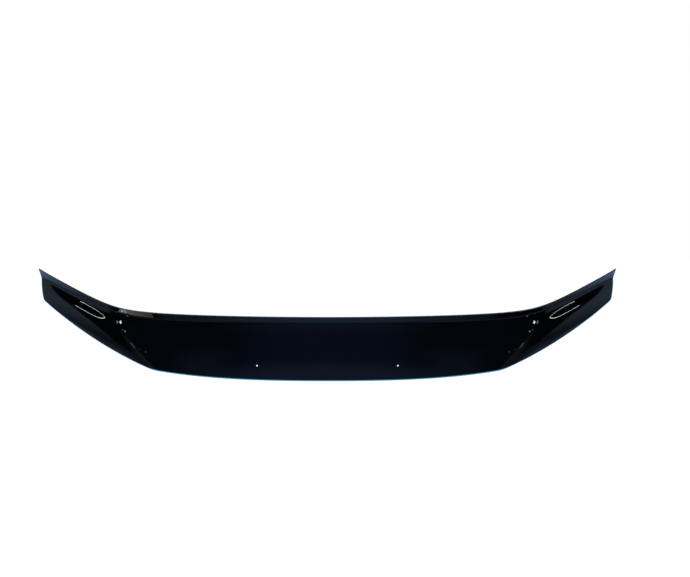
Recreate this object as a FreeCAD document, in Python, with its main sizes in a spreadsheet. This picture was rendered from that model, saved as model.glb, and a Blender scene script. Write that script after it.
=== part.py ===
import FreeCAD, Part
import math
import os
import Sketcher

# Bonnet deflector: one formed sheet that wraps the nose of a bonnet. A shallow
# centre panel carries two screw holes, a slanted soft bend leads into each swept
# wing, and a lip along the top edge flares forward.
# Frame: X across the car, the face looks to -Y, Z up. The origin lies midway
# between the two screw holes, on the face.

# Driving dimensions in millimetres and degrees
SIZES = {
    # outline, measured from the middle of the deflector
    "half_width": 720.0,         # tip of a wing
    "end_rake": 9.4,             # lower corner of a wing inside its tip
    "bend_half_width": 412.5,    # bend at the lower edge
    "bend_slant": 87.5,          # how much further out the bend meets the top edge
    "centre_height": 149.0,      # lower edge to lip edge in the middle
    "centre_lean": 5.5,          # lip edge behind the lower edge in the middle
    # plan view
    "plan_radius": 2500.0,       # sweep of the centre panel round the bonnet
    "fold_back": 160.0,          # how much further back a wing's lower corner is folded
    "tip_forward": 10.0,         # how much less the tip is folded back
    # front view
    "low_crown": 18.4,           # rise of the lower edge at the bend
    "top_crown": 2.5,            # rise of the lip edge at the bend
    "low_lift": 55.5,            # extra rise of the lower corner of a wing
    "tip_lift": 71.5,            # extra rise of the tip
    "wing_belly": 3.9,           # how far a wing's lower edge hangs below straight
    # the bends, soft at the top and tighter below
    "bend_soft_low": 11.0,
    "bend_soft_top": 64.0,
    "bend_reach_low": 46.0,      # outermost bend sections from the bend line
    "bend_reach_top": 90.0,
    # section of the sheet
    "wall": 3.0,
    "lip_centre": 12.0,          # straight part of the lip
    "lip_end": 19.5,
    "lip_flare_centre": 26.0,    # lip forward of upright
    "lip_flare_end": 17.0,
    "root_radius_centre": 8.0,   # inside radius between face and lip
    "root_radius_end": 19.0,
    "root_lean_centre": 9.5,     # face back from upright just below the lip
    "root_lean_end": 6.9,
    # ends
    "corner_radius": 12.0,       # lower corner of a wing
    # screw holes
    "hole_spacing": 329.5,
    "hole_diameter": 5.5,
    "hole_rise": 35.5,           # holes above the middle of the lower edge
    "hole_setback": 7.4,         # holes behind the middle of the lower edge
}

# Where the sections of one half stand: shares of the centre panel, of the bend's
# reach to either side of its line, and of the wing
LETTERS = "ABCDEFGHIJKLMNOPQRSTUVWXYZ"
CENTRE_SHARES = (0.0, 0.38, 0.72)
BEND_SHARES = (-1.0, -0.4, 0.0, 0.4, 1.0)
WING_SHARES = (0.32, 0.66, 1.0)


def add_sizes(doc):
    sheet = doc.addObject("Spreadsheet::Sheet", "Sizes")
    for row, (name, value) in enumerate(SIZES.items(), start=1):
        sheet.set(f"A{row}", name)
        sheet.set(f"B{row}", str(value))
        sheet.setAlias(f"B{row}", name)
    doc.recompute()
    return sheet


def station_places():
    # formulas for a section's distance from the middle, by its bend line, the
    # bend's reach and the end of the edge
    places = [f"{share} * (bend - reach)" for share in CENTRE_SHARES]
    places += [f"bend + {share} * reach" for share in BEND_SHARES]
    places += [f"bend + reach + {share} * (end - bend - reach)" for share in WING_SHARES]
    return places


def edge_formulas(place, edge):
    # One edge of the sheet: a shallow arc in plan and a cubic crown in front
    # view, and past the bend a fold that sets in along a hyperbola.
    low = edge == "low"
    names = {
        "bend": "Sizes.bend_half_width" if low else "(Sizes.bend_half_width + Sizes.bend_slant)",
        "reach": f"Sizes.bend_reach_{edge}",
        "end": "(Sizes.half_width - Sizes.end_rake)" if low else "Sizes.half_width",
        "soft": f"Sizes.bend_soft_{edge}",
        "crown": f"Sizes.{edge}_crown",
        "lift": "Sizes.low_lift" if low else "Sizes.tip_lift",
        "belly": "Sizes.wing_belly" if low else "0",
        "back": "Sizes.fold_back" if low else "(Sizes.fold_back - Sizes.tip_forward)",
        "start_y": "-Sizes.hole_setback" if low else "(Sizes.centre_lean - Sizes.hole_setback)",
        "start_z": "-Sizes.hole_rise" if low else "(Sizes.centre_height - Sizes.hole_rise)",
    }
    formulas = {
        "x": place,
        "past": "x - bend",
        "ramp": "(past + sqrt(past ^ 2 + soft ^ 2)) / 2",
        "fold": "ramp / ((end - bend + sqrt((end - bend) ^ 2 + soft ^ 2)) / 2)",
        "y": "start_y + x ^ 2 / (2 * Sizes.plan_radius) + back * fold",
        "z": "start_z + crown * (x / bend) ^ 3 + lift * fold - 4 * belly * fold * (1 - fold)",
        "onset": "fold / ramp * (1 + past / sqrt(past ^ 2 + soft ^ 2)) / 2",
        "slope": "x / Sizes.plan_radius + back * onset",
        "climb": "3 * crown * x ^ 2 / bend ^ 3 + ( lift - 4 * belly * (1 - 2 * fold) ) * onset",
    }
    return names, formulas


def fill_in(formula, names):
    words = []
    for word in formula.replace("(", "( ").replace(")", " )").split():
        words.append(names.get(word, word))
    return " ".join(words)


def add_stations(doc):
    # One row for each section of a half: where its lower edge and lip edge are,
    # and how its plane is turned
    sheet = doc.addObject("Spreadsheet::Sheet", "Stations")
    places = station_places()
    for station, place in enumerate(places):
        row = station + 1
        columns = (f"{first}{letter}" for first in ("", "A") for letter in LETTERS)

        def put(name, formula):
            cell = f"{next(columns)}{row}"
            sheet.set(cell, "=" + formula)
            sheet.setAlias(cell, f"{name}_{station}")
            return f"Stations.{name}_{station}"

        at = {}
        for edge in ("low", "top"):
            names, formulas = edge_formulas(place, edge)
            for name, formula in formulas.items():
                names[name] = put(f"{edge}_{name}", fill_in(formula, names))
                at[f"{edge}_{name}"] = names[name]

        def cell(name, formula):
            at[name] = put(name, fill_in(formula, at))

        cell("across", "top_x - low_x")
        cell("behind", "top_y - low_y")
        cell("height", "top_z - low_z")
        cell("heading", "atan( ( low_slope + top_slope ) / 2 )")
        cell("outward", "across * sin( heading ) - behind * cos( heading )")
        cell("along", "across * cos( heading ) + behind * sin( heading )")
        cell("chord", "sqrt( across ^ 2 + behind ^ 2 + height ^ 2 )")
        cell("tilt", "atan2( outward ; height )")
        cell("slant", "asin( along / chord )")
        cell("corner", "acos( -( across + behind * low_slope + height * low_climb )"
                       " / ( chord * sqrt( 1 + low_slope ^ 2 + low_climb ^ 2 ) ) )")
        cell("lip", "Sizes.lip_centre + ( Sizes.lip_end - Sizes.lip_centre )"
                    " * ( top_x / Sizes.half_width ) ^ 2")
        for name, size in (("flare", "lip_flare"), ("root", "root_radius"), ("lean", "root_lean")):
            centre, end = f"Sizes.{size}_centre", f"Sizes.{size}_end"
            cell(name, f"{centre} + ( {end} - {centre} ) * top_fold")
    doc.recompute()
    return sheet, len(places)


def arc(centre, radius, start, end):
    # counter-clockwise from start to end
    circle = Part.Circle(centre, FreeCAD.Vector(0, 0, 1), radius)
    return Part.ArcOfCircle(circle, circle.parameter(start), circle.parameter(end))


def origin_plane(body, role):
    return next(feature for feature in body.Origin.OriginFeatures if feature.Role == role)


def section_place(station, side):
    return (
        f"placement(vector({side} * Stations.low_x_{station}; Stations.low_y_{station};"
        f" Stations.low_z_{station}); rotation({side} * Stations.heading_{station} - 90 deg;"
        f" Stations.tilt_{station}; 90 deg - {side} * Stations.slant_{station}))"
    )


def add_section(body, sizes, stations, station, side, name):
    # The sheet cut across: face, root and lip in front, the same behind at the
    # wall's thickness. Sketch X points out of the face, sketch Y from the lower
    # edge to the lip edge.
    def value(word):
        return float(FreeCAD.Units.Quantity(stations.get(f"{word}_{station}")).Value)

    wall, root = sizes.get("wall"), value("root")
    chord, lip = value("chord"), value("lip")
    flare = math.radians(value("flare") - value("tilt"))
    lean = math.radians(value("lean") + value("tilt"))
    lip_out = FreeCAD.Vector(math.cos(flare), -math.sin(flare), 0)
    face_out = FreeCAD.Vector(math.cos(lean), math.sin(lean), 0)

    foot = FreeCAD.Vector(0, 0, 0)
    lip_edge = FreeCAD.Vector(0, chord, 0)
    lip_start = lip_edge - FreeCAD.Vector(math.sin(flare), math.cos(flare), 0) * lip
    root_centre = lip_start + lip_out * root
    face_end = root_centre - face_out * root
    face_radius = face_end.dot(face_end) / (2 * face_end.dot(face_out))
    face_centre = face_end - face_out * face_radius
    foot_back = foot + (face_centre - foot).normalize() * wall
    face_end_back = face_end - face_out * wall
    lip_start_back = lip_start - lip_out * wall
    lip_edge_back = lip_edge - lip_out * wall

    sketch = body.newObject("Sketcher::SketchObject", name)
    sketch.AttachmentSupport = [(origin_plane(body, "XY_Plane"), "")]
    sketch.MapMode = "FlatFace"
    face, bend, lip_front, lip_rim, lip_back, bend_back, face_back, foot_rim = sketch.addGeometry([
        arc(face_centre, face_radius, foot, face_end),
        arc(root_centre, root, lip_start, face_end),
        Part.LineSegment(lip_start, lip_edge),
        Part.LineSegment(lip_edge, lip_edge_back),
        Part.LineSegment(lip_edge_back, lip_start_back),
        arc(root_centre, root + wall, lip_start_back, face_end_back),
        arc(face_centre, face_radius - wall, foot_back, face_end_back),
        Part.LineSegment(foot_back, foot),
    ], False)
    start, end, centre = 1, 2, 3
    origin, axis_y = -1, -2
    for rule in (
        ("Coincident", face, start, origin, start),
        ("Tangent", face, end, bend, end),
        ("Tangent", bend, start, lip_front, start),
        ("Coincident", lip_front, end, lip_rim, start),
        ("Coincident", lip_rim, end, lip_back, start),
        ("Tangent", lip_back, end, bend_back, start),
        ("Tangent", bend_back, end, face_back, end),
        ("Coincident", face_back, start, foot_rim, start),
        ("Coincident", foot_rim, end, face, start),
        ("PointOnObject", lip_front, end, axis_y),
        ("Perpendicular", lip_front, lip_rim),
        ("Parallel", lip_front, lip_back),
        ("Coincident", bend, centre, bend_back, centre),
        ("Coincident", face, centre, face_back, centre),
        ("PointOnObject", face, centre, foot_rim),
    ):
        sketch.addConstraint(Sketcher.Constraint(*rule))
    for label, rule, formula in (
        ("chord", ("DistanceY", lip_front, end, chord), f"Stations.chord_{station}"),
        ("lip", ("Distance", lip_front, lip), f"Stations.lip_{station}"),
        ("flare", ("Angle", lip_front, math.pi / 2 - flare),
         f"90 deg - Stations.flare_{station} * 1 deg + Stations.tilt_{station}"),
        ("root", ("Radius", bend, root), f"Stations.root_{station}"),
        ("turn", ("Angle", bend, flare + lean),
         f"(Stations.flare_{station} + Stations.lean_{station}) * 1 deg"),
        ("wall", ("Distance", lip_rim, wall), "Sizes.wall"),
    ):
        index = sketch.addConstraint(Sketcher.Constraint(*rule))
        sketch.renameConstraint(index, label)
        sketch.setExpression(f"Constraints.{label}", formula)
    sketch.setExpression("AttachmentOffset", section_place(station, side))
    return sketch


def add_loft(doc, body, sketches, name):
    loft = body.newObject("PartDesign::AdditiveLoft", name)
    loft.Profile = sketches[0]
    loft.Sections = sketches[1:]
    loft.Ruled = False
    doc.recompute()
    return loft


def add_panel(doc, body, sizes, stations, count):
    # sections from the left end through the middle to the right end, then the
    # centre panel, the bends and the wings lofted one by one between them
    sketches = {}
    for number in range(1 - count, count):
        side = -1 if number < 0 else 1
        name = f"Section{number + count}"
        sketches[number] = add_section(body, sizes, stations, abs(number), side, name)
    doc.recompute()
    bend_start = len(CENTRE_SHARES)
    bend_end = bend_start + len(BEND_SHARES) - 1
    for name, first, last in (
        ("CentrePanel", -bend_start, bend_start),
        ("LeftBend", -bend_end, -bend_start),
        ("RightBend", bend_start, bend_end),
        ("LeftWing", 1 - count, -bend_end),
        ("RightWing", bend_end, count - 1),
    ):
        add_loft(doc, body, [sketches[number] for number in range(first, last + 1)], name)


def add_corner(doc, body, sizes, stations, station, side, name):
    # The trimmed lower corner of a wing, drawn on the face of the wing from its
    # sharp corner: sketch X points off the end, sketch Y up the end.
    radius = sizes.get("corner_radius")
    corner = math.radians(float(FreeCAD.Units.Quantity(stations.get(f"corner_{station}")).Value))
    up = radius / math.tan(corner / 2)
    clear = 2 * radius
    down = FreeCAD.Vector(-math.cos(corner), -math.sin(corner), 0)
    middle = FreeCAD.Vector(-radius, up, 0)
    on_end = FreeCAD.Vector(0, up, 0)
    on_low = middle + down * radius
    off_end = on_end + FreeCAD.Vector(clear, 0, 0)
    off_low = on_low + down * clear

    sketch = body.newObject("Sketcher::SketchObject", name + "Outline")
    sketch.AttachmentSupport = [(origin_plane(body, "XY_Plane"), "")]
    sketch.MapMode = "FlatFace"
    round_edge, off_line, outer, low_line = sketch.addGeometry([
        arc(middle, radius, on_low, on_end),
        Part.LineSegment(on_end, off_end),
        Part.LineSegment(off_end, off_low),
        Part.LineSegment(off_low, on_low),
    ], False)
    start, end, centre = 1, 2, 3
    axis_y = -2
    for rule in (
        ("Coincident", round_edge, end, off_line, start),
        ("Coincident", off_line, end, outer, start),
        ("Coincident", outer, end, low_line, start),
        ("Coincident", low_line, end, round_edge, start),
        ("PointOnObject", off_line, start, axis_y),
        ("Horizontal", off_line),
        ("PointOnObject", round_edge, centre, off_line),
        ("PointOnObject", round_edge, centre, low_line),
    ):
        sketch.addConstraint(Sketcher.Constraint(*rule))
    for label, rule, formula in (
        ("radius", ("Radius", round_edge, radius), "Sizes.corner_radius"),
        ("turn", ("Angle", round_edge, math.pi - corner), f"180 deg - Stations.corner_{station}"),
        ("up", ("DistanceY", off_line, start, up),
         f"Sizes.corner_radius / tan(Stations.corner_{station} / 2)"),
        ("clear_end", ("Distance", off_line, clear), "2 * Sizes.corner_radius"),
        ("clear_low", ("Distance", low_line, clear), "2 * Sizes.corner_radius"),
    ):
        index = sketch.addConstraint(Sketcher.Constraint(*rule))
        sketch.renameConstraint(index, label)
        sketch.setExpression(f"Constraints.{label}", formula)
    face_on = f"placement(vector(0; 0; 0); rotation(0 deg; {side} * 90 deg; 0 deg))"
    sketch.setExpression("AttachmentOffset", f"{section_place(station, side)} * {face_on}")
    doc.recompute()
    return cut_through(doc, body, sketch, name)


def cut_through(doc, body, sketch, name):
    before = body.Shape.Volume
    pocket = body.newObject("PartDesign::Pocket", name)
    pocket.Profile = sketch
    pocket.Type = "ThroughAll"
    pocket.Midplane = True
    doc.recompute()
    if not 0 < pocket.Shape.Volume < before:
        raise RuntimeError(f"{name} cuts nothing")
    return pocket


def add_holes(doc, body):
    sketch = body.newObject("Sketcher::SketchObject", "HolePlaces")
    sketch.AttachmentSupport = [(origin_plane(body, "XZ_Plane"), "")]
    sketch.MapMode = "FlatFace"
    sizes = doc.getObject("Sizes")
    half, radius = sizes.get("hole_spacing") / 2, sizes.get("hole_diameter") / 2
    for side, word in ((-1, "left"), (1, "right")):
        place = FreeCAD.Vector(side * half, 0, 0)
        hole = sketch.addGeometry(Part.Circle(place, FreeCAD.Vector(0, 0, 1), radius), False)
        sketch.addConstraint(Sketcher.Constraint("PointOnObject", hole, 3, -1))
        far = sketch.addConstraint(Sketcher.Constraint("DistanceX", -1, 1, hole, 3, side * half))
        sketch.renameConstraint(far, f"{word}_place")
        sketch.setExpression(f"Constraints.{word}_place", f"{side} * Sizes.hole_spacing / 2")
        wide = sketch.addConstraint(Sketcher.Constraint("Diameter", hole, 2 * radius))
        sketch.renameConstraint(wide, f"{word}_diameter")
        sketch.setExpression(f"Constraints.{word}_diameter", "Sizes.hole_diameter")
    doc.recompute()
    return cut_through(doc, body, sketch, "Holes")


def check(doc, bodies):
    for item in doc.Objects:
        if "Invalid" in item.State or "Error" in item.State:
            raise RuntimeError(f"{item.Name} failed: {item.State}")
    for body in bodies:
        if body.Shape.isNull() or not body.Shape.isValid():
            raise RuntimeError(f"{body.Label} has no valid shape")


def main():
    doc = FreeCAD.newDocument("bonnet_deflector")
    sizes = add_sizes(doc)
    stations, count = add_stations(doc)
    body = doc.addObject("PartDesign::Body", "Deflector")
    body.Label = "deflector"
    add_panel(doc, body, sizes, stations, count)
    for side, word in ((-1, "Left"), (1, "Right")):
        add_corner(doc, body, sizes, stations, count - 1, side, f"{word}Corner")
    add_holes(doc, body)
    check(doc, [body])
    os.makedirs("parts", exist_ok=True)
    body.Shape.exportStep(f"parts/{body.Label}.step")
    print("volume", body.Shape.Volume, "box", body.Shape.BoundBox)


main()
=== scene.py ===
from math import acos, atan, atan2, cos, radians, sin, sqrt, tan

import bmesh
import bpy
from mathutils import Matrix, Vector


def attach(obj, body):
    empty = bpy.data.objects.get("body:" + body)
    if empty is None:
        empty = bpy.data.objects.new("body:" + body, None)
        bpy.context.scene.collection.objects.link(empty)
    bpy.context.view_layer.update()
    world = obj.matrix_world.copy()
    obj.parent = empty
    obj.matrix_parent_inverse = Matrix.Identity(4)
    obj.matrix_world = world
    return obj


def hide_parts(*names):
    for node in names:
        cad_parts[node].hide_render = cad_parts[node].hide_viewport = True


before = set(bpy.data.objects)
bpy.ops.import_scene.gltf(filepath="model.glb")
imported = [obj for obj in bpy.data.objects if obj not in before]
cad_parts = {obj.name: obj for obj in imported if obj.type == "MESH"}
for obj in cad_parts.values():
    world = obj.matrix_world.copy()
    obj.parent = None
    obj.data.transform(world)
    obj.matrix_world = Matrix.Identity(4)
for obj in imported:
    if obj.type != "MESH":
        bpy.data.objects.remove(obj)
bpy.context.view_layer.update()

scene = bpy.context.scene

# the sheet, in metres and degrees
sheet = {
    "halfWidth": 0.72,
    "endRake": 0.0094,        # the lower corner of a wing stands this far in from its tip
    "bendHalfWidth": 0.4125,  # the bend at the lower edge, further out by the slant at the lip
    "bendSlant": 0.0875,
    "centreHeight": 0.149,
    "centreLean": 0.0055,
    "planRadius": 2.5,
    "foldBack": 0.160,        # how far the wings sweep back and up
    "tipForward": 0.010,
    "lowCrown": 0.0184,
    "topCrown": 0.0025,
    "lowLift": 0.0555,
    "tipLift": 0.0715,
    "wingBelly": 0.0039,
    "bendSoftLow": 0.011,
    "bendSoftTop": 0.064,
    "wall": 0.003,
    "lipCentre": 0.012,
    "lipEnd": 0.0195,
    "lipFlareCentre": 26.0,
    "lipFlareEnd": 17.0,
    "rootRadiusCentre": 0.008,
    "rootRadiusEnd": 0.019,
    "rootLeanCentre": 9.5,
    "rootLeanEnd": 6.9,
    "cornerRadius": 0.012,
    "endRoll": 0.0024,        # the last of each wing rolls back a little
    "endRollReach": 0.048,
    "holeSpacing": 0.3295,
    "holeRadius": 0.0020,
    "holeRise": 0.0355,       # from the lower edge at the middle up to the holes
    "holeSetback": 0.0074,
    "holeBlock": 2,           # rings of faces that are joined round a hole
    "holeRing": 2.2,          # ring of faces kept round a hole, in hole radii
    "holeInsets": (0.002, 0.001),
    "edgeBreak": 0.0004,      # eased edge of the trimmed rim
    "edgeSegments": 2,
    "edgeAngle": 50.0,
    "paintedHighlightStrip": 0.0022,       # margin along the lower and end edges, which the rim material paints with a bluish highlight
    "dullFrom": 0.04,         # share of the fold where the root of the lip starts to lose polish
    "dullSpan": 0.05,
    "columnsPerHalf": 172,
    "endColumns": 12,         # of those, gathered at the rounded corner
    "endGather": 1.6,
    "marginColumns": 3,       # and painted with the bluish highlight along the end
    "endZone": 0.009,
    "faceRows": 28,
    "rootRows": 18,
    "lipRows": 5,
}


def ramp(past, soft):
    # level before a bend and straight after it, with a soft turn between
    return (past + sqrt(past * past + soft * soft)) / 2


def edgePoint(edge, x):
    # a point of the lower or the lip edge, with its slopes in plan and in front view
    s = sheet
    low = edge == "low"
    bend = s["bendHalfWidth"] if low else s["bendHalfWidth"] + s["bendSlant"]
    end = s["halfWidth"] - s["endRake"] if low else s["halfWidth"]
    soft = s["bendSoftLow"] if low else s["bendSoftTop"]
    crown = s["lowCrown"] if low else s["topCrown"]
    lift = s["lowLift"] if low else s["tipLift"]
    belly = s["wingBelly"] if low else 0.0
    back = s["foldBack"] if low else s["foldBack"] - s["tipForward"]
    startY = -s["holeSetback"] if low else s["centreLean"] - s["holeSetback"]
    startZ = -s["holeRise"] if low else s["centreHeight"] - s["holeRise"]
    past = x - bend
    fold = ramp(past, soft) / ramp(end - bend, soft)
    onset = (1 + past / sqrt(past * past + soft * soft)) / 2 / ramp(end - bend, soft)
    roll = max(x - end + s["endRollReach"], 0.0) / s["endRollReach"]
    y = startY + x * x / (2 * s["planRadius"]) + back * fold + s["endRoll"] * roll ** 3
    z = startZ + crown * (x / bend) ** 3 + lift * fold - 4 * belly * fold * (1 - fold)
    slope = x / s["planRadius"] + back * onset
    climb = 3 * crown * x * x / bend ** 3 + (lift - 4 * belly * (1 - 2 * fold)) * onset
    return Vector((x, y, z)), slope, climb, fold


def bendLead(x):
    # how far the lower end of a section trails its lip end, most at the bend
    bend = sheet["bendHalfWidth"] + sheet["bendSlant"]
    wing = sheet["halfWidth"] - bend
    slant = sheet["bendSlant"]
    if x < bend:
        return slant * (x / bend) ** 2
    rise = 2 * slant / bend
    drop = (slant + rise * wing - sheet["endRake"]) / wing ** 2
    return slant + rise * (x - bend) - drop * (x - bend) ** 2


def towardsEnd(name, share):
    centre, end = sheet[name + "Centre"], sheet[name + "End"]
    return centre + (end - centre) * share


def sectionAt(x):
    # the front line of the sheet at one section of the right half: face arc, root arc and lip
    foot, lowSlope, lowClimb, lowFold = edgePoint("low", x - bendLead(x))
    lipEdge, topSlope, topClimb, topFold = edgePoint("top", x)
    heading = atan((lowSlope + topSlope) / 2)
    across = lipEdge - foot
    chord = across.length
    outward = across.x * sin(heading) - across.y * cos(heading)
    tilt = atan2(outward, across.z)
    up = across / chord
    out = Vector((cos(tilt) * sin(heading), -cos(tilt) * cos(heading), -sin(tilt)))
    lip = towardsEnd("lip", (x / sheet["halfWidth"]) ** 2)
    lean = radians(towardsEnd("rootLean", topFold)) + tilt
    flare = radians(towardsEnd("lipFlare", topFold)) - tilt
    root = towardsEnd("rootRadius", topFold)
    lipStart = Vector((-lip * sin(flare), chord - lip * cos(flare)))
    rootCentre = lipStart + root * Vector((cos(flare), -sin(flare)))
    faceOut = Vector((cos(lean), sin(lean)))
    faceEnd = rootCentre - root * faceOut
    faceRadius = faceEnd.dot(faceEnd) / (2 * faceEnd.dot(faceOut))
    faceCentre = faceEnd - faceRadius * faceOut
    faceStart = atan2(-faceCentre.y, -faceCentre.x)
    lowRun = sqrt(1 + lowSlope ** 2 + lowClimb ** 2)
    return {
        "foot": foot, "up": up, "out": out,
        "faceCentre": faceCentre, "faceRadius": faceRadius,
        "faceStart": faceStart, "faceTurn": lean - faceStart,
        "rootCentre": rootCentre, "root": root, "rootLean": lean, "rootFlare": flare,
        "lipStart": lipStart, "lip": lip,
        "dull": min(max((topFold - sheet["dullFrom"]) / sheet["dullSpan"], 0.0), 1.0),
        "corner": acos(-(across.x + across.y * lowSlope + across.z * lowClimb) / (chord * lowRun)),
    }


def sectionPoint(section, row, trim):
    # rows climb the face, go round the root and run up the lip
    faceRows, rootRows, lipRows = sheet["faceRows"], sheet["rootRows"], sheet["lipRows"]
    if row <= faceRows:
        faceLength = section["faceRadius"] * section["faceTurn"]
        margin = trim + sheet["paintedHighlightStrip"] / sin(section["corner"])
        reach = trim if row == 0 else margin + (faceLength - margin) * (row - 1) / (faceRows - 1)
        angle = section["faceStart"] + section["faceTurn"] * reach / faceLength
        flat = section["faceCentre"] + section["faceRadius"] * Vector((cos(angle), sin(angle)))
    elif row <= faceRows + rootRows:
        share = (row - faceRows) / rootRows
        angle = section["rootLean"] - (section["rootLean"] + section["rootFlare"]) * share
        flat = section["rootCentre"] - section["root"] * Vector((cos(angle), sin(angle)))
    else:
        share = (row - faceRows - rootRows) / lipRows
        along = Vector((sin(section["rootFlare"]), cos(section["rootFlare"])))
        flat = section["lipStart"] + along * section["lip"] * share
    return section["foot"] + section["out"] * flat.x + section["up"] * flat.y


def columnPlace(column):
    # even columns, gathered towards the end where the lower corner is round
    even = sheet["columnsPerHalf"] - sheet["endColumns"]
    zone = sheet["endZone"]
    if column <= even:
        return (sheet["halfWidth"] - zone) * column / even
    left = 1 - (column - even) / sheet["endColumns"]
    return sheet["halfWidth"] - zone * left ** sheet["endGather"]


def cornerTrim(section, endSection):
    # how far the rounded lower corner of a wing lifts the foot of a section
    radius = sheet["cornerRadius"]
    corner = endSection["corner"]
    outboard = -endSection["out"].cross(endSection["up"])
    gap = (endSection["foot"] - section["foot"]).dot(outboard)
    tangent = radius / tan(corner / 2)
    if gap >= tangent * sin(corner):
        return 0.0
    onArc = tangent - sqrt(max(radius ** 2 - (gap - radius) ** 2, 0.0))
    return onArc - gap * cos(corner) / sin(corner)


def addObject(name, bm, materials):
    mesh = bpy.data.meshes.new(name)
    bm.to_mesh(mesh)
    bm.free()
    for material in materials:
        mesh.materials.append(material)
    mesh.shade_smooth()
    piece = bpy.data.objects.new(name, mesh)
    scene.collection.objects.link(piece)
    return piece


def cutHole(bm, centre):
    # a screw hole: the faces round it become one, which is inset twice to rings and opened
    nearest = min(bm.verts, key=lambda vert: (vert.co.xz - centre).length)
    faces = set(nearest.link_faces)
    for grow in range(sheet["holeBlock"] - 1):
        faces |= {face for old in list(faces) for vert in old.verts for face in vert.link_faces}
    patch = bmesh.ops.dissolve_faces(bm, faces=list(faces))["region"][0]
    level = patch.calc_center_median()
    normal = patch.normal.copy()
    radii = (sheet["holeRing"] * sheet["holeRadius"], sheet["holeRadius"])
    for radius, inset in zip(radii, sheet["holeInsets"]):
        bmesh.ops.inset_region(bm, faces=[patch], thickness=inset, use_even_offset=True)
        for vert in patch.verts:
            ray = (vert.co.xz - centre).normalized() * radius
            x, z = centre.x + ray.x, centre.y + ray.y
            y = level.y - ((x - level.x) * normal.x + (z - level.z) * normal.z) / normal.y
            vert.co = (x, y, z)
    bmesh.ops.delete(bm, geom=[patch], context="FACES_ONLY")


def makeDeflector(faceFinish, rimPaintedHighlight):
    # a flat grid is laid over the sections, then holed, thickened and eased
    half = sheet["columnsPerHalf"]
    columns = 2 * half
    rows = sheet["faceRows"] + sheet["rootRows"] + sheet["lipRows"]
    sections = [sectionAt(columnPlace(column)) for column in range(half + 1)]
    trims = [cornerTrim(section, sections[-1]) for section in sections]
    bm = bmesh.new()
    bmesh.ops.create_grid(bm, x_segments=columns, y_segments=rows, size=0.5)
    margin = bm.faces.layers.int.new("margin")
    foldShare = bm.verts.layers.float.new("foldShare")
    for face in bm.faces:
        middle = face.calc_center_median()
        column = abs((middle.x + 0.5) * columns - half)
        row = (middle.y + 0.5) * rows
        face[margin] = int(row < 1 or column > half - sheet["marginColumns"])
    for vert in bm.verts:
        column = round((vert.co.x + 0.5) * columns) - half
        row = round((vert.co.y + 0.5) * rows)
        section = sections[abs(column)]
        inRoot = 0 < row - sheet["faceRows"] < sheet["rootRows"]
        vert[foldShare] = section["dull"] if inRoot else 0.0
        place = sectionPoint(section, row, trims[abs(column)])
        vert.co = (-place.x if column < 0 else place.x, place.y, place.z)
    bm.normal_update()
    for side in (-1, 1):
        cutHole(bm, Vector((side * sheet["holeSpacing"] / 2, 0.0)))
    bm.normal_update()
    # the margin faces take the rim material and with it the painted bluish highlight
    for face in bm.faces:
        face.material_index = face[margin]
    if sum(face.normal.y for face in bm.faces) > 0:
        bmesh.ops.reverse_faces(bm, faces=bm.faces)
    piece = addObject("deflectorShell", bm, [faceFinish, rimPaintedHighlight])
    wall = piece.modifiers.new("wall", "SOLIDIFY")
    wall.thickness = sheet["wall"]
    wall.offset = -1
    wall.use_even_offset = True
    # the rim of the wall takes the rim material and its painted highlight too
    wall.material_offset_rim = 1
    ease = piece.modifiers.new("easedRim", "BEVEL")
    ease.width = sheet["edgeBreak"]
    ease.segments = sheet["edgeSegments"]
    ease.limit_method = "ANGLE"
    ease.angle_limit = radians(sheet["edgeAngle"])
    ease.harden_normals = True
    print("deflector:", columns, "columns by", rows, "rows")
    return piece


def newMaterial(name):
    material = bpy.data.materials.new(name)
    material.use_nodes = True
    tree = material.node_tree
    tree.nodes.clear()
    return material, tree


def addNode(tree, kind, inputs=None, **settings):
    # each input is either linked to another node's output or set to a value
    node = tree.nodes.new(kind)
    for name, value in settings.items():
        setattr(node, name, value)
    for name, value in (inputs or {}).items():
        if isinstance(value, bpy.types.NodeSocket):
            tree.links.new(value, node.inputs[name])
        else:
            node.inputs[name].default_value = value
    return node


def addMath(tree, operation, *values):
    return addNode(tree, "ShaderNodeMath", dict(enumerate(values)), operation=operation).outputs[0]


gloss = {
    "deep": (0.0005, 0.0007, 0.0010, 1),
    "tint": (0.0009, 0.0013, 0.0022, 1),
    "cloudScale": 5.0,
    "cloudDetail": 4.0,
    "roughLow": 0.012,
    "roughHigh": 0.030,
    "roughFold": 0.50,        # the fold under the lip is less polished
    "hazeScale": 22.0,
    "hazeDetail": 6.0,
    "hazeRange": (0.35, 0.75),
    "ior": 1.49,
    "waveScale": 9.0,
    "waveDetail": 1.0,
    "waveHeight": 0.00003,
}


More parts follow.
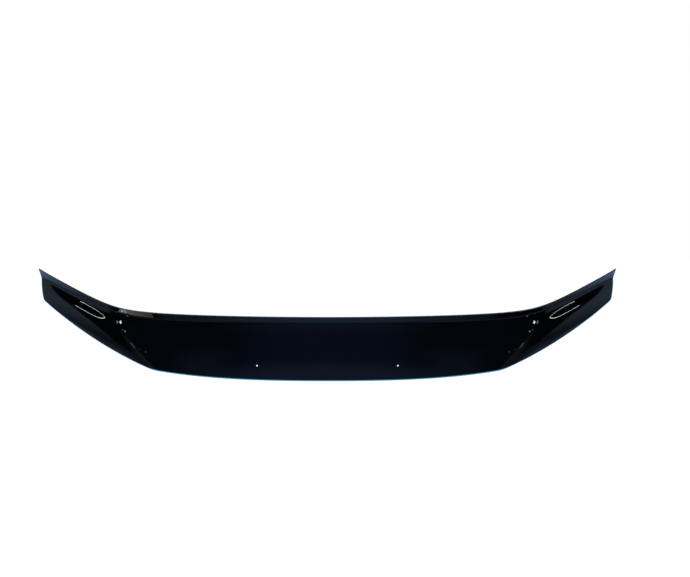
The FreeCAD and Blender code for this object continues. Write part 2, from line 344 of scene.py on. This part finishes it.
def makeGloss():
    material, tree = newMaterial("glossBlackSheet")
    place = addNode(tree, "ShaderNodeTexCoord").outputs["Object"]
    cloud = addNode(tree, "ShaderNodeTexNoise", {
        "Vector": place, "Scale": gloss["cloudScale"], "Detail": gloss["cloudDetail"]})
    colour = addNode(tree, "ShaderNodeMix", {
        "Factor": cloud.outputs["Fac"], "A": gloss["deep"], "B": gloss["tint"]}, data_type="RGBA")
    haze = addNode(tree, "ShaderNodeTexNoise", {
        "Vector": place, "Scale": gloss["hazeScale"], "Detail": gloss["hazeDetail"]})
    rough = addNode(tree, "ShaderNodeMapRange", {
        "Value": haze.outputs["Fac"],
        "From Min": gloss["hazeRange"][0], "From Max": gloss["hazeRange"][1],
        "To Min": gloss["roughLow"], "To Max": gloss["roughHigh"]})
    fold = addNode(tree, "ShaderNodeAttribute", attribute_name="foldShare")
    finish = addNode(tree, "ShaderNodeMix", {
        "Factor": fold.outputs["Fac"], "A": rough.outputs["Result"], "B": gloss["roughFold"]},
        data_type="FLOAT")
    wave = addNode(tree, "ShaderNodeTexNoise", {
        "Vector": place, "Scale": gloss["waveScale"], "Detail": gloss["waveDetail"]})
    bump = addNode(tree, "ShaderNodeBump", {
        "Height": wave.outputs["Fac"], "Distance": gloss["waveHeight"]})
    shader = addNode(tree, "ShaderNodeBsdfPrincipled", {
        "Base Color": colour.outputs["Result"], "Roughness": finish.outputs["Result"],
        "Normal": bump.outputs["Normal"], "IOR": gloss["ior"]})
    addNode(tree, "ShaderNodeOutputMaterial", {"Surface": shader.outputs["BSDF"]})
    print("gloss ready")
    return material


cutRim = {
    "paintedHighlight": (0.050, 0.500, 0.820, 1),   # painted bluish highlight on margin and rim that look forward or down
    "plain": (0.012, 0.016, 0.022, 1),      # rim that looks up, and the holes
    "plainAbove": 0.45,                     # upward share of the normal
    "paintedHighlightBelow": 0.20,
    "holeBand": 2.0,                        # height that counts as a hole's, in hole radii
    "rough": (0.18, 0.36),
    "grainScale": 240.0,
    "grainDetail": 5.0,
}


def makeRim():
    # the trimmed edge, with a painted bluish highlight where it looks forward or down, standing in for
    # light caught from below
    material, tree = newMaterial("trimmedRimPaintedHighlight")
    place = addNode(tree, "ShaderNodeTexCoord")
    facing = addNode(tree, "ShaderNodeSeparateXYZ", {0: place.outputs["Normal"]})
    down = addNode(tree, "ShaderNodeMapRange", {
        "Value": facing.outputs["Z"],
        "From Min": cutRim["plainAbove"], "From Max": cutRim["paintedHighlightBelow"]})
    spot = addNode(tree, "ShaderNodeSeparateXYZ", {0: place.outputs["Object"]})
    height = addMath(tree, "ABSOLUTE", spot.outputs["Z"])
    offHole = addMath(tree, "GREATER_THAN", height, cutRim["holeBand"] * sheet["holeRadius"])
    span = addMath(tree, "ABSOLUTE", spot.outputs["X"])
    onWing = addMath(tree, "GREATER_THAN", span, sheet["holeSpacing"])
    # painted highlight: bluish wherever the rim looks forward or down, except round the holes
    paintedHighlightMask = addMath(tree, "MULTIPLY", down.outputs["Result"], addMath(tree, "MAXIMUM", offHole, onWing))
    colour = addNode(tree, "ShaderNodeMix", {
        "Factor": paintedHighlightMask, "A": cutRim["plain"], "B": cutRim["paintedHighlight"]}, data_type="RGBA")
    grain = addNode(tree, "ShaderNodeTexNoise", {
        "Vector": place.outputs["Object"],
        "Scale": cutRim["grainScale"], "Detail": cutRim["grainDetail"]})
    rough = addNode(tree, "ShaderNodeMapRange", {
        "Value": grain.outputs["Fac"], "To Min": cutRim["rough"][0], "To Max": cutRim["rough"][1]})
    shader = addNode(tree, "ShaderNodeBsdfPrincipled", {
        "Base Color": colour.outputs["Result"], "Roughness": rough.outputs["Result"],
        "IOR": gloss["ior"]})
    addNode(tree, "ShaderNodeOutputMaterial", {"Surface": shader.outputs["BSDF"]})
    print("rim ready")
    return material


studio = {
    "floorDrop": 0.95,
    "floorFront": -2.4,
    "floorBack": 9.0,
    "floorHalf": 7.0,
    "floorColour": (0.82, 0.83, 0.84, 1),
    "floorGlow": 0.62,
    "ambient": (0.5, 0.5, 0.5, 1),
    "backdrop": (1, 1, 1, 1),
    "darkSide": (0.006, 0.008, 0.012, 1),
    "wallSlant": 0.45,        # rise of the side wall's lower edge towards the front
}


def makeFloor():
    # a pale floor, lifted towards white for the camera alone so that its shadow stays
    depth = studio["floorBack"] - studio["floorFront"]
    middle = (studio["floorBack"] + studio["floorFront"]) / 2
    bm = bmesh.new()
    bmesh.ops.create_grid(bm, x_segments=1, y_segments=1, size=0.5)
    bmesh.ops.scale(bm, vec=(2 * studio["floorHalf"], depth, 1), verts=bm.verts)
    bmesh.ops.translate(bm, vec=(0, middle, -studio["floorDrop"]), verts=bm.verts)
    material, tree = newMaterial("paleFloor")
    path = addNode(tree, "ShaderNodeLightPath")
    matte = addNode(tree, "ShaderNodeBsdfDiffuse", {"Color": studio["floorColour"]})
    level = addMath(tree, "MULTIPLY", path.outputs["Is Camera Ray"], studio["floorGlow"])
    glow = addNode(tree, "ShaderNodeEmission", {"Strength": level})
    both = addNode(tree, "ShaderNodeAddShader", {0: matte.outputs[0], 1: glow.outputs[0]})
    addNode(tree, "ShaderNodeOutputMaterial", {"Surface": both.outputs[0]})
    floor = addObject("studioFloor", bm, [material])
    floor.visible_glossy = False     # the gloss mirrors the plain surroundings instead
    print("floor ready")


# what the gloss mirrors, each with the ranges of direction over which it fades in
surroundings = [
    # wall behind, brightest where it is high
    {"colour": (0.20, 0.33, 0.54), "fades": (("Y", 0.34, 0.44), ("Z", -0.56, -0.45))},
    {"colour": (0.22, 0.42, 0.95), "fades": (("Y", 0.42, 0.54), ("Z", -0.465, -0.425))},
    {"colour": (0.05, 0.06, 0.075),
     "fades": (("Y", 0.25, 0.38), ("Z", -0.52, -0.58), ("side", 0.50, 0.70))},
    # floor at the sides and below
    {"colour": (0.22, 0.28, 0.38),
     "fades": (("Y", 0.095, 0.135), ("Z", 0.06, 0.00), ("Z", -0.56, -0.18))},
    {"colour": (0.08, 0.12, 0.20), "fades": (("Z", -0.55, -0.80), ("side", 0.45, 0.36))},
    {"colour": (0.12, 0.22, 0.34), "fades": (("Z", -0.55, -0.80), ("side", 0.36, 0.04))},
    {"colour": (0.045, 0.065, 0.10),
     "fades": (("side", 0.50, 0.70), ("Z", -0.45, -0.56), ("Z", -0.70, -0.62))},
    # dim brown patch that shows at the lower end of the bends
    {"colour": (0.10, 0.098, 0.10),
     "fades": (("side", 0.42, 0.56), ("side", 0.93, 0.85), ("Y", -0.05, -0.35), ("Z", 0.03, -0.10))},
    # dim blue room in front
    {"colour": (0.012, 0.022, 0.048), "fades": (("Y", -0.60, -0.85),)},
    {"colour": (0.022, 0.045, 0.130), "fades": (("Y", -0.955, -0.998),)},
    {"colour": (0.080, 0.130, 0.220),
     "fades": (("Y", -0.50, -0.80), ("Z", -0.03, -0.12), ("side", 0.52, 0.44))},
    {"colour": (0.045, 0.065, 0.100),
     "fades": (("Y", -0.50, -0.80), ("Z", 0.07, -0.03), ("side", 0.22, 0.34))},
    {"colour": (0.040, 0.055, 0.060), "fades": (("Y", -0.93, -0.985), ("Z", 0.07, 0.15))},
    # wall at the sides above a dark opening, with a slanted lower edge
    {"colour": (0.25, 0.31, 0.41), "fades": (("slant", 0.018, 0.048), ("Y", -0.36, -0.24)),
     "covers": True},
]


def makeWorld():
    # white behind the object, a dim room on the side that the face looks to
    world = bpy.data.worlds.new("studioWorld")
    scene.world = world
    world.use_nodes = True
    tree = world.node_tree
    tree.nodes.clear()
    place = addNode(tree, "ShaderNodeTexCoord")
    axes = addNode(tree, "ShaderNodeSeparateXYZ", {0: place.outputs["Generated"]})
    across, along, height = axes.outputs["X"], axes.outputs["Y"], axes.outputs["Z"]
    directions = {
        "Y": along,
        "Z": height,
        "side": addMath(tree, "ABSOLUTE", across),
        "slant": addMath(tree, "MULTIPLY_ADD", along, studio["wallSlant"], height),
    }
    room = studio["darkSide"]
    for zone in surroundings:
        weight = 1.0
        for name, start, end in zone["fades"]:
            fade = addNode(tree, "ShaderNodeMapRange", {
                "Value": directions[name], "From Min": start, "From Max": end},
                interpolation_type="SMOOTHSTEP")
            weight = addMath(tree, "MULTIPLY", weight, fade.outputs["Result"])
        added = addNode(tree, "ShaderNodeMix", {
            "Factor": weight, "A": room, "B": (*zone["colour"], 1)},
            data_type="RGBA", blend_type="MIX" if zone.get("covers") else "ADD")
        room = added.outputs["Result"]
    path = addNode(tree, "ShaderNodeLightPath")
    mirrorRay = addMath(tree, "MAXIMUM", path.outputs["Is Glossy Ray"], path.outputs["Is Transmission Ray"])
    lighting = addNode(tree, "ShaderNodeMix", {
        "Factor": mirrorRay, "A": studio["ambient"], "B": room}, data_type="RGBA")
    seen = addNode(tree, "ShaderNodeMix", {
        "Factor": path.outputs["Is Camera Ray"], "A": lighting.outputs["Result"], "B": studio["backdrop"]},
        data_type="RGBA")
    light = addNode(tree, "ShaderNodeBackground", {"Color": seen.outputs["Result"]})
    addNode(tree, "ShaderNodeOutputWorld", {"Surface": light.outputs[0]})
    print("world ready")


ceiling = {
    "place": Vector((0.0, 0.4, 2.4)),
    "target": Vector((0.0, 0.0, 0.0)),
    "width": 2.6,
    "depth": 1.6,
    "power": 30.0,
}


def addCeiling():
    light = bpy.data.lights.new("ceilingSoft", "AREA")
    light.shape = "RECTANGLE"
    light.size = ceiling["width"]
    light.size_y = ceiling["depth"]
    light.energy = ceiling["power"]
    holder = bpy.data.objects.new("ceilingSoft", light)
    holder.location = ceiling["place"]
    holder.rotation_euler = (ceiling["target"] - ceiling["place"]).to_track_quat("-Z", "Y").to_euler()
    scene.collection.objects.link(holder)


lampAim = (0.5, 0.1, 0.1)     # the wing that the slim lamps are turned to

# slim lamps that the gloss shows as bright lines and spots, with their places on the left
lamps = {
    "windowFrame": {
        "path": [
            (-2.999, 0.079, 0.163), (-2.982, 0.006, 0.196), (-2.963, -0.073, 0.208),
            (-2.942, -0.161, 0.210), (-2.919, -0.252, 0.205), (-2.904, -0.311, 0.174),
            (-2.893, -0.352, 0.139), (-2.889, -0.370, 0.085), (-2.898, -0.308, 0.002),
            (-2.915, -0.189, -0.109), (-2.924, -0.068, -0.192), (-2.936, 0.031, -0.232),
            (-2.950, 0.146, -0.250), (-2.965, 0.234, -0.249), (-2.984, 0.316, -0.230),
        ],
        "width": 0.019, "strength": 13.0, "sides": (-1, 1),
    },
    "spotHigh": {
        "path": [(-2.280, -1.405, 0.723), (-2.464, -1.225, 0.525)],
        "width": 0.074, "strength": 20.0, "sides": (-1, 1),
    },
    "spotSide": {
        "path": [(-2.578, -1.054, 0.470), (-2.644, -0.958, 0.318)],
        "width": 0.080, "strength": 5.0, "sides": (-1, 1), "colour": (0.30, 0.80, 1.30),
    },
    "spotLow": {
        "path": [(-2.202, -1.556, 0.469), (-2.394, -1.372, 0.257)],
        "width": 0.050, "strength": 3.6, "sides": (-1, 1), "colour": (0.85, 0.95, 1.15),
    },
    "spotLowSide": {
        "path": [(-2.464, -1.277, 0.273), (-2.556, -1.149, 0.143)],
        "width": 0.042, "strength": 1.2, "sides": (-1, 1), "colour": (0.85, 0.95, 1.15),
    },
    "streak": {
        "path": [(-2.420, -1.270, -0.350), (-2.120, -1.650, -0.030)],
        "width": 0.17, "strength": 0.9, "sides": (-1, 1), "colour": (0.75, 0.95, 1.30),
    },
    "dot": {
        "path": [(-1.493, -2.073, 0.430), (-1.365, -2.119, 0.505)],
        "width": 0.022, "strength": 0.9, "sides": (-1, 1), "colour": (0.85, 0.95, 1.10),
    },
    "lipLight": {
        "path": [
            (-1.120, 0.255, -0.632), (-1.039, 0.087, -0.703),
            (-0.936, -0.094, -0.742), (-0.850, -0.195, -0.756),
        ],
        "width": 0.15, "strength": 1.35, "sides": (-1,),
        "fade": {"outer": 1.10, "inner": 0.85, "share": 0.42},     # dims towards the middle
    },
    "lipSpotSide": {
        "path": [(-1.072, 0.211, -0.600), (-1.058, 0.195, -0.605)],
        "width": 0.014, "strength": 6.0, "sides": (-1,),
    },
    "lipSpot": {
        "path": [(-1.043, 0.172, -0.618), (-1.033, 0.160, -0.623)],
        "width": 0.014, "strength": 4.5, "sides": (-1,),
    },
}


def addLamp(name, lamp, side):
    # a bright ribbon along a path, seen only in the gloss
    aim = Vector((side * lampAim[0], lampAim[1], lampAim[2]))
    path = [Vector((-side * x, y, z)) for x, y, z in lamp["path"]]
    last = len(path) - 1
    bm = bmesh.new()
    bmesh.ops.create_grid(bm, x_segments=last, y_segments=1, size=0.5)
    for vert in bm.verts:
        number = round((vert.co.x + 0.5) * last)
        place = path[number]
        along = path[min(number + 1, last)] - path[max(number - 1, 0)]
        across = along.cross(aim - place).normalized() * lamp["width"]
        vert.co = place + across * vert.co.y
    material, tree = newMaterial(name + "Glow")
    strength = lamp["strength"]
    if "fade" in lamp:
        fade = lamp["fade"]
        middle = addNode(tree, "ShaderNodeTexCoord")
        axes = addNode(tree, "ShaderNodeSeparateXYZ", {0: middle.outputs["Object"]})
        level = addNode(tree, "ShaderNodeMapRange", {
            "Value": addMath(tree, "ABSOLUTE", axes.outputs["X"]),
            "From Min": fade["outer"], "From Max": fade["inner"],
            "To Min": strength, "To Max": strength * fade["share"]})
        strength = level.outputs["Result"]
    glow = addNode(tree, "ShaderNodeEmission", {
        "Color": (*lamp.get("colour", (1, 1, 1)), 1), "Strength": strength})
    addNode(tree, "ShaderNodeOutputMaterial", {"Surface": glow.outputs[0]})
    ribbon = addObject(name, bm, [material])
    ribbon.visible_camera = False
    ribbon.visible_shadow = False


camera = {
    "imageWidth": 690,
    "imageHeight": 577,
    "focalPixels": 1369.0,
    "distance": 3.2,
    "elevation": 12.0,
    "aim": Vector((0.0, 0.06, 0.05)),
    "middlePixel": 327.4,     # where the photo has the middle of the sheet
    "holePixel": 365.75,      # and the line through its screw holes
    "sensor": 36.0,
    "clipEnd": 100.0,
}


def makeCamera():
    data = bpy.data.cameras.new("photoCamera")
    holder = bpy.data.objects.new("photoCamera", data)
    scene.collection.objects.link(holder)
    rise = radians(camera["elevation"])
    holder.location = Vector((0, -cos(rise), sin(rise))) * camera["distance"]
    look = camera["aim"] - holder.location
    turn = look.to_track_quat("-Z", "Y")
    holder.rotation_euler = turn.to_euler()
    data.sensor_width = camera["sensor"]
    data.lens = camera["focalPixels"] * camera["sensor"] / camera["imageWidth"]
    seen = turn.inverted() @ -holder.location     # the origin, from the camera
    column = camera["imageWidth"] / 2 + camera["focalPixels"] * seen.x / -seen.z
    row = camera["imageHeight"] / 2 - camera["focalPixels"] * seen.y / -seen.z
    data.shift_x = (column - camera["middlePixel"]) / camera["imageWidth"]
    data.shift_y = (camera["holePixel"] - row) / camera["imageWidth"]
    data.clip_end = camera["clipEnd"]
    scene.camera = holder
    print("camera shift", round(data.shift_x, 4), round(data.shift_y, 4))


scene.view_settings.view_transform = "Standard"
shell = makeDeflector(makeGloss(), makeRim())
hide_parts("deflector")
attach(shell, "root")
makeFloor()
makeWorld()
addCeiling()
for lampName, lamp in lamps.items():
    for side in lamp["sides"]:
        addLamp(lampName + ("Left" if side < 0 else "Right"), lamp, side)
print("lamps:", len(lamps))
makeCamera()
